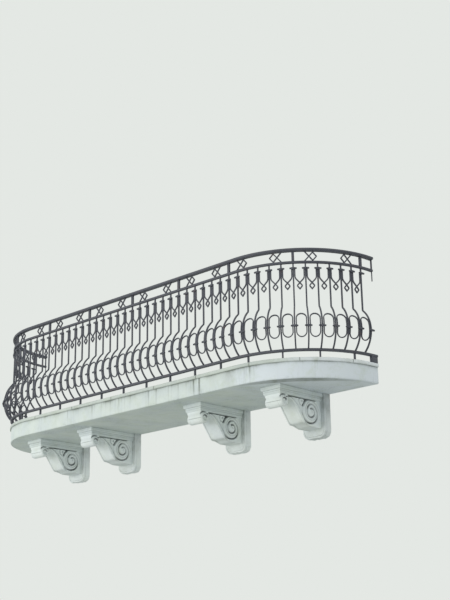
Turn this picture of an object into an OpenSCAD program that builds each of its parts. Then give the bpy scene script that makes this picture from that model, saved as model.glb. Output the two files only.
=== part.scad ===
// Wrought iron balcony on a corbelled slab, built out from a flat wall.
// The wall plane is y = 0 and the front looks along -Y. Z = 0 is half way up the slab.
// Railing pieces are counted from the right-hand wall end, as seen from the front.

/* [Plan] */
// Radius of the slab's edge round both ends, equal to its reach from the wall
edge_r = 888; // [800:1:980]
// Length of the straight front
straight_l = 3052; // [2400:4:3600]
// Distance of the bars' middle line inside the slab's edge
inset = 8; // [4:1:30]
// Distance of the first baluster from the right-hand wall end, along the slab's edge
first_s = 153; // [120:1:200]
// Distance of the last baluster from the left-hand wall end
last_s = 189; // [120:1:220]
// Number of balusters
baluster_count = 51; // [31:1:51]
// Balusters from one frieze post to the next
bay_step = 6; // [4:1:8]

/* [Slab] */
// Height of the slab below its nosing
slab_h = 150; // [100:5:200]
// Height of the nosing course on the slab
lip_h = 34; // [20:1:60]
// How far the nosing reaches past the slab
lip_reach = 11; // [4:1:40]

/* [Corbels] */
// Distance from the middle to the left-hand outer corbel
corbel_x1 = 1683; // [1600:1:1760]
// Distance from the middle to the left-hand inner corbel
corbel_x2 = 841; // [700:1:1000]
// Distance from the middle to the right-hand inner corbel
corbel_x3 = 740; // [600:5:900]
// Distance from the middle to the right-hand outer corbel
corbel_x4 = 1727; // [1600:1:1760]
// Width of a corbel's body
corbel_w = 184; // [150:2:200]
// How far a corbel's cap stands out from the wall
cap_d = 670; // [640:2:740]
// Width of the cap's top member
cap_w = 232; // [220:2:250]
// Height of the cap's top member
cap_top = 37; // [30:1:50]
// Height of the cap's lower member
cap_low = 40; // [30:1:45]
// Radius of the roll at the front
roll_r = 50; // [45:1:54]
// Depth of the roll's centre from the wall
roll_y = 592; // [580:2:600]
// Distance of the roll's centre under the slab
roll_z = 138; // [130:1:144]
// Radius of the large scroll
scroll_r = 112; // [100:1:118]
// Depth of the large scroll's centre from the wall
scroll_y = 213; // [205:1:230]
// Distance of the large scroll's centre under the slab
scroll_z = 192; // [180:1:200]
// Width of the wall plate
plate_w = 262; // [240:2:300]
// Thickness of the wall plate
plate_t = 85; // [40:1:88]
// Height of the wall plate below the slab
plate_h = 402; // [370:1:440]

/* [Rails] */
// Height of the handrail's top above the floor
rail_top = 1005; // [900:5:1150]
// Width of the handrail
hand_w = 50; // [40:1:70]
// Height of the handrail
hand_h = 30; // [20:1:40]
// Open height of the frieze between handrail and upper rail
frieze_h = 94; // [70:1:120]
// Width of the upper rail
upper_w = 28; // [24:1:40]
// Height of the upper rail
upper_h = 18; // [12:1:30]
// Width of the bottom rail
bottom_w = 36; // [26:1:44]
// Height of the bottom rail
bottom_h = 18; // [10:1:24]
// Clear height under the bottom rail
foot_h = 58; // [40:1:90]
// Width of the frieze posts
post_w = 24; // [16:1:32]
// Length of the straps below the handrail's underside
strap_l = 205; // [160:5:260]

/* [Balusters] */
// Side of the square bars
bar = 12; // [10:1:14]
// How far the belly stands out from the bars' middle line
belly_out = 94; // [80:1:105]
// Radius of the belly
belly_r = 248; // [230:1:270]

/* [Ornament] */
// Width of the flat bars of rings
ring_strip = 9; // [7:0.5:11]
// Height of a ring
ring_h = 217; // [190:1:240]
// Height of the belly's clasps above the floor
clasp_z = 258; // [245:1:285]
// Height of the upper clasps above the floor
top_clasp_z = 814; // [790:1:830]
// Height of a clasp
clasp_h = 15; // [12:1:22]
// Half width of a clasp
clasp_w = 18; // [16:1:20]
// Depth of a clasp
clasp_d = 10; // [8:1:14]
// Reach of a clasp's knobs from the bar's middle
knob_reach = 34; // [30:1:38]
// Radius of a clasp's knobs
knob_r = 7.5; // [6:0.5:8]
// Width of the flat bars of ribbons
strip = 10; // [8:0.5:12]
// Distance of a ribbon's legs from the bars' middle line
leg_off = 16; // [14:1:18]
// Height at which a ribbon's legs turn inwards
leg_z = 725; // [700:1:745]
// Height of a ribbon's crossing
cross_z = 682; // [670:1:695]
// Height of a ribbon's eye
eye_h = 58; // [50:1:66]
// Half width of a ribbon's eye
eye_w = 25; // [20:1:30]

/* [Hidden] */

$fn = 48;
stone = "#d9dcd2";
iron = "#3c3a40";
rim = 14;                                         // width of the raised rim on a corbel's sides
relief = 9;                                       // height of that rim and of the scroll inside it
head_d = 52;                                      // how far a corbel's head stands out past the roll's centre
lift = 0.45;                                      // moves what stands in a curved gap out to its clasps

rail_r = edge_r - inset;                          // radius of the bars' middle line
half_l = straight_l / 2;
arc_l = edge_r * PI / 2;                          // length of one round end along the slab's edge
last = baluster_count - 1;
pitch = round(20 * (2 * arc_l + straight_l - first_s - last_s) / last) / 20; // spacing of the balusters
ring_w = pitch - bar - 0.5;                       // a ring fills the gap between two bars
turn_1 = 2 * bay_step;                            // first baluster of the straight front
turn_2 = last - 2 * bay_step;                     // last baluster of the straight front
floor_z = slab_h / 2 + lip_h;
soffit_z = -slab_h / 2;
cap_h = cap_top + cap_low;
hand_z = floor_z + rail_top - hand_h;             // underside of the handrail
upper_z = hand_z - frieze_h;                      // top of the upper rail
bottom_z = floor_z + foot_h + bottom_h;           // top of the bottom rail
bar_top = rail_top - hand_h - frieze_h - upper_h; // height of the bars' tops above the floor
bar_foot = foot_h + bottom_h;                     // height of the bars' feet above the floor
bow_o = belly_out - belly_r;                      // middle of the belly's arc, from the bars' middle line
bow_z = bar_foot + sqrt(belly_r * belly_r - bow_o * bow_o); // height of the fullest part of the belly

// Distance along the slab's edge of baluster i
function station(i) = first_s + i * pitch;
// Turn of the outward direction at distance s: 90 at the right wall, 0 in front, -90 at the left wall
function turn(s) = s < arc_l ? 90 - s / edge_r * 180 / PI
    : s > arc_l + straight_l ? -(s - arc_l - straight_l) / edge_r * 180 / PI : 0;
// Point of the bars' middle line at distance s, moved outwards by o
function spot(s, o = 0) =
    let (a = turn(s))
    let (x = s < arc_l ? half_l : s > arc_l + straight_l ? -half_l : half_l - (s - arc_l))
    [x + (rail_r + o) * sin(a), -(rail_r + o) * cos(a)];
// Distance between the middle lines of baluster i and the next one
function gap_w(i) = norm(spot(station(i)) - spot(station(i + 1)));

// Stands a piece at distance s on the bars' middle line, its -Y side outwards
module at_station(s) translate(concat(spot(s), 0)) rotate(turn(s)) children();

// Stands a piece in the middle of the gap after baluster i, square to the line between its two bars
module at_gap(i) {
    right = spot(station(i));
    left = spot(station(i + 1));
    curved = turn(station(i)) != turn(station(i + 1));
    translate(concat((right + left) / 2, 0)) rotate(atan2(right[1] - left[1], right[0] - left[0]))
        translate([0, curved ? -lift : 0, 0]) children();
}

// Outline of the line pts moved by h to its left
function beside(pts, h) = [for (i = [0 : len(pts) - 1])
    let (a = pts[max(i - 1, 0)], b = pts[min(i + 1, len(pts) - 1)])
    let (u = i == 0 ? (b - pts[0]) / norm(b - pts[0]) : (pts[i] - a) / norm(pts[i] - a))
    let (v = i == len(pts) - 1 ? u : (b - pts[i]) / norm(b - pts[i]))
    let (m = (u + v) / norm(u + v))
    pts[i] + h / max(0.4, m * u) * [-m[1], m[0]]];

// Flat strip of width w along the line pts
module strip_2d(pts, w) polygon(concat(beside(pts, w / 2),
    [for (i = [len(pts) - 1 : -1 : 0]) beside(pts, -w / 2)[i]]));

// Plan of the slab, its edge r from the ends' centres and from the wall
module slab_plan(r) intersection() {
    union() {
        translate([half_l, 0]) circle(r, $fn = 128);
        translate([-half_l, 0]) circle(r, $fn = 128);
        translate([-half_l, -r]) square([straight_l, r]);
    }
    translate([-half_l - r - 1, -r - 1]) square([straight_l + 2 * r + 2, r + 1]);
}

module slab() color(stone) translate([0, 0, soffit_z]) linear_extrude(slab_h) slab_plan(edge_r);

module slab_lip() color(stone) translate([0, 0, slab_h / 2]) linear_extrude(lip_h) slab_plan(edge_r + lip_reach);

// Extrudes a side view w wide about the middle of a corbel: X is the depth and Y the height under the slab
module across(w) rotate([90, 0, -90]) translate([0, 0, -w / 2]) linear_extrude(w) children();

// Side view of a corbel's body, drawn g inside its outline: the great scroll by the wall, the long
// sweep that rises from it to the cap, the upright head in front and the roll under it
module corbel_side(g) {
    great = scroll_r + rim + 4;
    intersection() {
        translate([scroll_y, -scroll_z]) circle(great - g, $fn = 96);
        translate([0, -2 * plate_h]) square([cap_d, 2 * plate_h - cap_h - g]);
    }
    translate([plate_t + g, -scroll_z - great + g]) square([scroll_y - plate_t - g, scroll_z + great - cap_h - 2 * g]);
    difference() {
        translate([scroll_y - 1, -scroll_z - 62]) square([roll_y - scroll_y, scroll_z + 62 - cap_h - g]);
        translate([scroll_y + 407, -scroll_z - 220]) circle(460 - great + g, $fn = 128);
    }
    translate([roll_y - roll_r + g, -roll_z + g]) square([roll_r + head_d - 2 * g, roll_z - cap_h - 2 * g]);
    translate([roll_y, -roll_z]) circle(roll_r - g);
}

// Half turns of flat strip, each on the middle of its own, that wind in to a round eye
module scroll_2d(r, step, w, turns) {
    for (i = [0 : turns - 1]) translate([i % 2 == 0 ? 0 : -step / 2, 0]) intersection() {
        difference() {
            circle(r - i * step / 2, $fn = 96);
            circle(r - i * step / 2 - w, $fn = 96);
        }
        translate([-r - step, i % 2 == 0 ? 0 : -2 * r]) square([2 * (r + step), 2 * r]);
    }
    circle(r - turns * step / 2);
}

module corbel(x) color(stone) translate([x, 0, soffit_z]) {
    across(corbel_w - 2 * relief) corbel_side(0);
    across(corbel_w) {
        difference() {
            corbel_side(0);
            corbel_side(rim);
        }
        translate([scroll_y + 6, -scroll_z]) mirror([1, 0]) scroll_2d(scroll_r - 12, 50, 37, 3);
    }
    across(corbel_w + 18) translate([roll_y, -roll_z]) difference() {
        circle(roll_r);
        circle(roll_r - 18);
    }
    across(corbel_w + 6) translate([roll_y, -roll_z]) circle(roll_r - 32);
}

// Member of a cap, w wide and h high, its front d from the wall and its underside at z
module cap_member(w, d, h, z) translate([-w / 2, -d, z]) cube([w, d - plate_t, h]);

module corbel_cap(x) color(stone) translate([x, 0, soffit_z]) {
    cap_member(cap_w, cap_d, cap_top, -cap_top);
    cap_member(cap_w - 28, cap_d - 15, cap_low, -cap_h);
}

module corbel_plate(x) color(stone) translate([x, 0, soffit_z]) rotate([90, 0, 0]) linear_extrude(plate_t)
    polygon([[-plate_w / 2, 0], [plate_w / 2, 0], [plate_w / 2, 55 - plate_h], [plate_w / 2 - 18, 18 - plate_h],
        [plate_w / 2 - 46, -plate_h], [46 - plate_w / 2, -plate_h], [18 - plate_w / 2, 18 - plate_h],
        [-plate_w / 2, 55 - plate_h]]);

// Rail with the section children() along one stretch: 1 right end, 0 front, -1 left end
module rail_run(part) {
    if (part == 0) translate([half_l, -rail_r, 0]) rotate([90, 0, -90]) linear_extrude(straight_l) children();
    else translate([part * half_l, 0, 0]) rotate(part > 0 ? -90 : 180)
        rotate_extrude(angle = 90, $fn = 180) translate([rail_r, 0]) children();
}

module handrail(part) color(iron) rail_run(part) translate([0, hand_z]) polygon([[-hand_w * 0.42, 0], [hand_w * 0.42, 0],
    [hand_w / 2, hand_h * 0.2], [hand_w / 2, hand_h * 0.7], [hand_w * 0.4, hand_h * 0.9], [hand_w * 0.24, hand_h],
    [-hand_w * 0.24, hand_h], [-hand_w * 0.4, hand_h * 0.9], [-hand_w / 2, hand_h * 0.7], [-hand_w / 2, hand_h * 0.2]]);

module upper_rail(part) color(iron) rail_run(part) translate([-upper_w / 2, upper_z - upper_h]) square([upper_w, upper_h]);

module bottom_rail(part) color(iron) rail_run(part)
    translate([-bottom_w / 2, bottom_z - bottom_h]) square([bottom_w, bottom_h]);

// Flat bar on the wall between the two rails, and a thinner one that runs on below them
module wall_strap(side) color(iron) translate([side * (half_l + rail_r), 0, 0]) {
    translate([-8, -9, upper_z]) cube([16, 9, frieze_h]);
    translate([-5, -6, hand_z - strap_l]) cube([10, 6, upper_z - upper_h - hand_z + strap_l]);
}

module rail_feet() color(iron) {
    for (i = [1 : 3 : last - 1]) at_station(station(i)) translate([-8, -12, floor_z]) cube([16, 24, foot_h]);
    for (side = [-1, 1]) translate([side * (half_l + rail_r) - 14, -84, floor_z]) cube([28, 84, foot_h]);
}

module frieze_posts() color(iron) for (i = [for (j = [0 : bay_step : last]) j, last]) at_station(station(i))
    translate([-post_w / 2, -10, upper_z]) cube([post_w, 20, frieze_h]);

// Looped flat bar of the frieze, its tails towards -X and its eye, a diamond, towards +X
module knot() rotate([90, 0, 0]) translate([0, 0, -bar / 2]) linear_extrude(bar) {
    h = frieze_h / 2;
    w = 34;
    d = h - 8;
    edge = strip / 2 * norm([w, d]) / (w * d);
    translate([14, 0]) difference() {
        polygon([for (p = [[w, 0], [0, d], [-w, 0], [0, -d]]) p * (1 + edge)]);
        polygon([for (p = [[w, 0], [0, d], [-w, 0], [0, -d]]) p * (1 - edge)]);
    }
    run = w / d;
    half = (strip / 2 - 0.2) * norm([w, d]) / d;
    for (s = [-1, 1]) polygon([[-20 - h * run - half, s * h], [-20 - h * run + half, s * h],
        [-20 + 6 * run + half, -s * 6], [-20 + 6 * run - half, -s * 6]]);
}

module frieze_knots() color(iron) for (i = [0 : bay_step : last - bay_step]) {
    at_gap(i + 1) translate([0, 0, upper_z + frieze_h / 2]) mirror([1, 0, 0]) knot();
    at_gap(i + bay_step - 2) translate([0, 0, upper_z + frieze_h / 2]) knot();
}

// Side view of a bar t thick: upright above its kink and bowed outwards below it. X is the outward offset
module bow_2d(t) {
    kink = bow_z + sqrt(pow(belly_r - t / 2, 2) - pow(bow_o + t / 2, 2));
    translate([-t / 2, kink]) square([t, bar_top - kink]);
    intersection() {
        translate([bow_o, bow_z]) difference() {
            circle(belly_r + t / 2, $fn = 128);
            circle(belly_r - t / 2, $fn = 128);
        }
        union() {
            translate([-t / 2, bow_z - 1]) square([2 * belly_out, belly_r]);
            translate([-t, bar_foot]) square([2 * belly_out, bow_z - bar_foot]);
        }
    }
}

// Bar w wide across the line and t thick, from the bottom rail to the upper one
module bent_bar(w, t) translate([w / 2, 0, floor_z]) rotate([90, 0, -90]) linear_extrude(w) bow_2d(t);

module balusters(bay) color(iron) for (i = [(bay - 1) * bay_step : (bay == 9 ? last : min(last, bay * bay_step - 1))])
    at_station(station(i)) bent_bar(bar, bar);

// Long ring outline with round ends
module stadium(w, h) {
    square([w, h - w], center = true);
    for (s = [-1, 1]) translate([0, s * (h - w) / 2]) circle(w / 2, $fn = 64);
}

// Ring bent to the belly, all of one size, set between two balusters
module ring() intersection() {
    translate([0, 0, floor_z + bow_z]) rotate([90, 0, 0]) linear_extrude(3 * belly_out) difference() {
        stadium(ring_w, ring_h);
        stadium(ring_w - 2 * ring_strip, ring_h - 2 * ring_strip);
    }
    bent_bar(ring_w + 2, bar);
}

module rings(a, b) color(iron) for (i = [a : b - 1]) at_gap(i) ring();

// Looped ribbon between two balusters w apart, which hangs from their upper clasps
module ribbon(w) translate([0, bar / 2, floor_z]) rotate([90, 0, 0]) linear_extrude(bar) {
    for (s = [-1, 1]) strip_2d([[s * (w / 2 - leg_off), top_clasp_z + clasp_h / 2], [s * (w / 2 - leg_off), leg_z],
        [0, cross_z], [-s * eye_w * 0.88, cross_z - eye_h * 0.46], [-s * eye_w, cross_z - eye_h * 0.55],
        [-s * eye_w * 0.82, cross_z - eye_h * 0.66], [0, cross_z - eye_h]], strip);
    translate([0, cross_z - eye_h]) circle(strip / 2);
}

module ribbons(a, b) color(iron) for (i = [a : b - 1]) at_gap(i) ribbon(gap_w(i));

// Clasp laid over a bar's outer face, o from its middle line and z above the floor, with a knob at each end
module clasp(o, z) translate([0, -o - clasp_d / 2, floor_z + z]) {
    cube([2 * clasp_w, clasp_d, clasp_h], center = true);
    for (s = [-1, 1]) rotate([0, s * 90, 0]) rotate_extrude() polygon([[0, clasp_w - 2], [4, clasp_w - 2],
        [4, knob_reach - 1.9 * knob_r], [knob_r * 0.9, knob_reach - 1.5 * knob_r], [knob_r, knob_reach - knob_r],
        [knob_r * 0.8, knob_reach - 0.4 * knob_r], [knob_r * 0.4, knob_reach], [0, knob_reach]]);
}

module belly_clasps() color(iron) for (i = [0 : last]) at_station(station(i)) clasp(belly_out + bar / 2, clasp_z);

module top_clasps() color(iron) for (i = [0 : last]) at_station(station(i)) clasp(bar / 2, top_clasp_z);

slab();
slab_lip();
corbel(-corbel_x1);  // corbel_1
corbel(-corbel_x2);  // corbel_2
corbel(corbel_x3);  // corbel_3
corbel(corbel_x4);  // corbel_4
corbel_cap(-corbel_x1);  // corbel_cap_1
corbel_cap(-corbel_x2);  // corbel_cap_2
corbel_cap(corbel_x3);  // corbel_cap_3
corbel_cap(corbel_x4);  // corbel_cap_4
corbel_plate(-corbel_x1);  // corbel_plate_1
corbel_plate(-corbel_x2);  // corbel_plate_2
corbel_plate(corbel_x3);  // corbel_plate_3
corbel_plate(corbel_x4);  // corbel_plate_4
handrail(1);  // handrail_right
handrail(0);  // handrail_front
handrail(-1);  // handrail_left
upper_rail(1);  // upper_rail_right
upper_rail(0);  // upper_rail_front
upper_rail(-1);  // upper_rail_left
bottom_rail(1);  // bottom_rail_right
bottom_rail(0);  // bottom_rail_front
bottom_rail(-1);  // bottom_rail_left
wall_strap(1);  // wall_strap_right
wall_strap(-1);  // wall_strap_left
rail_feet();
frieze_posts();
frieze_knots();
balusters(1);  // balusters_bay_1
balusters(2);  // balusters_bay_2
balusters(3);  // balusters_bay_3
balusters(4);  // balusters_bay_4
balusters(5);  // balusters_bay_5
balusters(6);  // balusters_bay_6
balusters(7);  // balusters_bay_7
balusters(8);  // balusters_bay_8
balusters(9);  // balusters_bay_9
rings(0, turn_1);  // rings_right
rings(turn_1, turn_2);  // rings_front
rings(turn_2, last);  // rings_left
ribbons(0, turn_1);  // ribbons_right
ribbons(turn_1, turn_2);  // ribbons_front
ribbons(turn_2, last);  // ribbons_left
belly_clasps();
top_clasps();
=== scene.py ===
# A long balcony of wrought iron on a stone slab and four carved corbels, dressed round its CAD frame.
# Lengths are in millimetres in the part's own frame: X to the right, Y into the wall, Z up from the
# middle of the slab, with the wall plane at y = 0. They turn to metres where a mesh is made.

import math

import bmesh
import bpy
import numpy as np
from mathutils import Matrix, Vector, noise


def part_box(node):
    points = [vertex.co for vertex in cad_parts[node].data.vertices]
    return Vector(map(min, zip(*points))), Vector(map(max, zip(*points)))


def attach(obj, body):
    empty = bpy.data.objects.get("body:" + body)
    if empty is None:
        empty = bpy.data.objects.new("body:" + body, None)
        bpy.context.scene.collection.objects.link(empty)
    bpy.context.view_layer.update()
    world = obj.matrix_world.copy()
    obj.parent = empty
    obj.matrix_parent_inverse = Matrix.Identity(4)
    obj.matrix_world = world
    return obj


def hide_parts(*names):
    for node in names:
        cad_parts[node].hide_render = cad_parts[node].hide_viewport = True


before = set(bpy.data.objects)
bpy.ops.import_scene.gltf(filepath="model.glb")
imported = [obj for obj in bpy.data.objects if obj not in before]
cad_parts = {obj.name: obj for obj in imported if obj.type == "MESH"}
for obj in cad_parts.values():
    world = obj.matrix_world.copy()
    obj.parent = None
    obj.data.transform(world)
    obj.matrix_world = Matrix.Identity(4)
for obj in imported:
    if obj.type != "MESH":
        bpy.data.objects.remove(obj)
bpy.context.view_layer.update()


# The slab is pale stone under a thin coat of lime plaster, cast against the wall and plastered on its
# edge and underside. Rain has run down its edge in thin dark streaks, and algae has tinted it green.

MM = 0.001
slab_low, slab_high = [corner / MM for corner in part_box("slab")]
FLOOR_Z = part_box("slab_lip")[1].z / MM
# The edge in plan is a quarter circle, a straight front and a quarter circle. Places along it are measured
# from the right-hand wall end, and its points stand about 8 mm apart
EDGE_R = -slab_low.y
HALF_L = slab_high.x - EDGE_R
ARC_L = EDGE_R * math.pi / 2
EDGE_L = 2 * ARC_L + 2 * HALF_L
EDGE_POINTS = 732
# Distance inside the fascia at which its worn lower edge gives way to the flat underside
UNDERSIDE = 12.5
# Rain streaks down the fascia: place along the edge, half width and strength
STREAKS = [(760, 8, 0.2), (980, 8, 0.2), (1246, 12, 0.6), (1490, 110, 0.55), (1862, 15, 1.0), (1935, 12, 0.8),
           (2032, 8, 0.4), (2138, 9, 0.5), (2230, 8, 0.4), (2270, 9, 0.5), (2438, 13, 0.6), (2546, 12, 0.7),
           (2806, 8, 0.35), (2887, 9, 0.45), (2930, 8, 0.4), (2974, 9, 0.5), (3026, 8, 0.45), (3100, 10, 0.5),
           (3168, 8, 0.4), (3237, 9, 0.45), (3378, 12, 0.55), (3765, 12, 0.45), (4200, 8, 0.3),
           (4610, 9, 0.35), (5120, 8, 0.3)]
# How far the fascia is darkened below the nosing, beyond its painted shade line: places along the edge, and
# how dark it is there
SHELTERED = ((900, 1100, 1400, 2200, 3500, 4200, 4900, 5300),
             (0.03, 0.2, 0.22, 0.34, 0.34, 0.08, 0.12, 0.5))
# The damp stain on the underside: its middle and half length along the edge, and its width
STAIN = (820, 640)
STAIN_W = 132


def turn(s):
    """Angle of the outward direction at distance s along the slab's edge, from the right-hand wall end."""
    if s < ARC_L:
        return math.pi / 2 - s / EDGE_R
    if s > ARC_L + 2 * HALF_L:
        return -(s - ARC_L - 2 * HALF_L) / EDGE_R
    return 0.0


def edge_point(s, out=0.0):
    """Point in plan at distance s along the edge, moved outwards."""
    angle = turn(s)
    x = HALF_L if s < ARC_L else -HALF_L if s > ARC_L + 2 * HALF_L else HALF_L - (s - ARC_L)
    return np.array([x + (EDGE_R + out) * math.sin(angle), -(EDGE_R + out) * math.cos(angle)])


def wave(points, size, seed):
    """Smooth unevenness between -1 and 1 at each point, its swells about size apart."""
    return np.array([noise.noise(Vector(p) / size + Vector((seed, 0, 0))) for p in points])


def linear(colour):
    """An sRGB hex colour as the linear value that a shader takes."""
    parts = [int(colour[i:i + 2], 16) / 255 for i in (1, 3, 5)]
    return tuple(c / 12.92 if c < 0.04045 else ((c + 0.055) / 1.055) ** 2.4 for c in parts) + (1.0,)


def fill(shader, sockets):
    """Gives a shader node's sockets, by name or number, their values or links."""
    for key, value in sockets.items():
        if isinstance(value, bpy.types.NodeSocket):
            shader.id_data.links.new(value, shader.inputs[key])
        else:
            shader.inputs[key].default_value = value


def node(material, kind, sockets=None, **settings):
    """Adds a shader node, sets its options and fills its sockets."""
    made = material.node_tree.nodes.new("ShaderNode" + kind)
    for option, value in settings.items():
        setattr(made, option, value)
    fill(made, sockets or {})
    return made


def loft(loops):
    """Points and faces of a solid through loops of equal length, closed by a flat face at each end."""
    n = len(loops[0])
    faces = []
    for k in range(len(loops) - 1):
        low, high = k * n, (k + 1) * n
        faces += [(low + i, low + (i + 1) % n, high + (i + 1) % n, high + i) for i in range(n)]
    faces.append(tuple(range(n))[::-1])
    faces.append(tuple(range((len(loops) - 1) * n, len(loops) * n)))
    return np.concatenate(loops), faces


def build(name, solids, material, crease=35, grime_and_shade=None):
    """Makes one piece from (points, faces) solids, softly shaded. Its last argument is the darkening at each
    point: dirt, and painted shade in hollows and under ledges.
    """
    points = np.concatenate([p for p, _ in solids]) * MM
    starts = np.cumsum([0] + [len(p) for p, _ in solids])
    faces = [tuple(int(start) + i for i in f) for (_, fs), start in zip(solids, starts) for f in fs]
    mesh = bpy.data.meshes.new(name)
    mesh.from_pydata(points.tolist(), [], faces)
    work = bmesh.new()
    work.from_mesh(mesh)
    bmesh.ops.recalc_face_normals(work, faces=work.faces)
    work.to_mesh(mesh)
    work.free()
    mesh.shade_smooth()
    mesh.set_sharp_from_angle(angle=math.radians(crease))
    dirt_and_shade = mesh.attributes.new("grime_and_shade", "FLOAT", "POINT")
    dirt_and_shade.data.foreach_set("value", np.zeros(len(points)) if grime_and_shade is None else grime_and_shade)
    mesh.materials.append(material)
    piece = bpy.data.objects.new(name, mesh)
    bpy.context.scene.collection.objects.link(piece)
    return piece


def fix(piece, cad_node):
    """The piece stands for the CAD node, which is hidden, and rides on the balcony's one body."""
    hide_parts(cad_node)
    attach(piece, "root")


def new_finish(name):
    """A new material, its shader, and the place in metres that its patterns follow."""
    made = bpy.data.materials.new(name)
    made.use_nodes = True
    return made, made.node_tree.nodes["Principled BSDF"], node(made, "TexCoord").outputs["Object"]


# Sockets of a Mix node for colours: the upper colour's share, the two colours, and the result
SHARE, UNDER, OVER, RESULT = 0, 6, 7, 2


def lime_plaster(name, base, dark, green, streak_strength, fresh_wash_and_light=None):
    """Old lime plaster on stone: matt and slightly uneven, with soft blotches, green tint and rain marks, and
    its dark colour mixed in as dirt and painted shade.
    """
    made, shader, place = new_finish(name)
    # Blotches about 300 mm across, where the plaster has dried and been patched unevenly
    blotch = node(made, "TexNoise", {"Vector": place, "Scale": 3.3, "Detail": 4.0, "Roughness": 0.6})
    # Clouds of algae about 120 mm across
    algae = node(made, "TexNoise", {"Vector": place, "Scale": 8.0, "Detail": 6.0, "Roughness": 0.7})
    # Rain marks about 12 mm wide and 300 mm long
    drawn_out = node(made, "Mapping", {"Vector": place, "Scale": (80, 80, 3.3)}).outputs[0]
    rain = node(made, "TexNoise", {"Vector": drawn_out, "Scale": 1.0, "Detail": 3.0, "Roughness": 0.6})
    # Grains of sand about 2 mm across, drawn coarser than real ones so that they show
    grain = node(made, "TexNoise", {"Vector": place, "Scale": 420.0, "Detail": 2.0, "Roughness": 0.6})
    # Small pits about 10 mm apart
    pits = node(made, "TexVoronoi", {"Vector": place, "Scale": 95.0, "Randomness": 1.0})
    dirt_and_shade = node(made, "Attribute", attribute_name="grime_and_shade").outputs["Fac"]
    tone = node(made, "MapRange", {"Value": blotch.outputs["Fac"], "From Min": 0.35, "From Max": 0.7})
    dried = node(made, "Mix", {SHARE: tone.outputs[0], UNDER: linear(base[0]), OVER: linear(base[1])},
                 data_type="RGBA")
    if fresh_wash_and_light:
        # Newer, bluer whitewash towards the right-hand end, made paler there also as painted light where the
        # curve turns away from the lamp. It comes in between two distances in metres
        colour, start, end = fresh_wash_and_light
        aside = node(made, "SeparateXYZ", {0: place}).outputs[0]
        newer_and_lit = node(made, "MapRange", {"Value": aside, "From Min": start, "From Max": end, "To Max": 0.75})
        dried = node(made, "Mix", {SHARE: newer_and_lit.outputs[0], UNDER: dried.outputs[RESULT],
                                   OVER: linear(colour)}, data_type="RGBA")
    spread = node(made, "MapRange", {"Value": algae.outputs["Fac"], "From Min": 0.48, "From Max": 0.8,
                                     "To Max": 0.6})
    tinted = node(made, "Mix", {SHARE: spread.outputs[0], UNDER: dried.outputs[RESULT], OVER: linear(green)},
                  data_type="RGBA")
    gathered = node(made, "Math", {0: rain.outputs["Fac"], 1: blotch.outputs["Fac"]}, operation="MULTIPLY")
    lines = node(made, "MapRange", {"Value": gathered.outputs[0], "From Min": 0.29, "From Max": 0.45,
                                    "To Max": streak_strength})
    marked = node(made, "Mix", {SHARE: lines.outputs[0], UNDER: tinted.outputs[RESULT], OVER: linear(dark)},
                  data_type="RGBA")
    # The mesh's darkening attribute, dirt and painted shade together, mixes in the dark colour, patchily with
    # the algae
    patchy_darkening = node(made, "Math", {0: dirt_and_shade, 1: algae.outputs["Fac"]}, operation="MULTIPLY")
    share = node(made, "MapRange", {"Value": patchy_darkening.outputs[0], "From Max": 0.5, "To Max": 0.9})
    darkened = node(made, "Mix", {SHARE: share.outputs[0], UNDER: marked.outputs[RESULT], OVER: linear(dark)},
                 data_type="RGBA")
    rough = node(made, "MapRange", {"Value": grain.outputs["Fac"], "To Min": 0.82, "To Max": 0.97})
    hollow = node(made, "MapRange", {"Value": pits.outputs["Distance"], "From Max": 0.25})
    relief = node(made, "Math", {0: grain.outputs["Fac"], 1: hollow.outputs[0]}, operation="ADD")
    swell = node(made, "Bump", {"Strength": 0.35, "Distance": 0.004, "Height": algae.outputs["Fac"]})
    bump = node(made, "Bump", {"Strength": 0.4, "Distance": 0.0012, "Height": relief.outputs[0],
                               "Normal": swell.outputs[0]})
    fill(shader, {"Base Color": darkened.outputs[RESULT], "Roughness": rough.outputs[0],
                  "Normal": bump.outputs[0], "Specular IOR Level": 0.25})
    return made


# Lime plaster, floated and whitewashed by hand: chalky, never glossy, pale where it is dry
# The right-hand curve's paler, bluer wash is a newer coat, and partly painted light where the curve faces
# away from the lamp
fascia_plaster = lime_plaster("weathered lime plaster", ("#d9e1dc", "#cfd8da"), "#6d736b", "#c4cfbb", 0.3,
                              ("#e2e9f1", 1.25, 1.75))


def streak_at(s):
    """How strongly a rain streak darkens the fascia at distance s, and how far down it runs."""
    return max((strength * max(0.0, 1 - abs(s - at) / width), strength) for at, width, strength in STREAKS)


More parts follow.
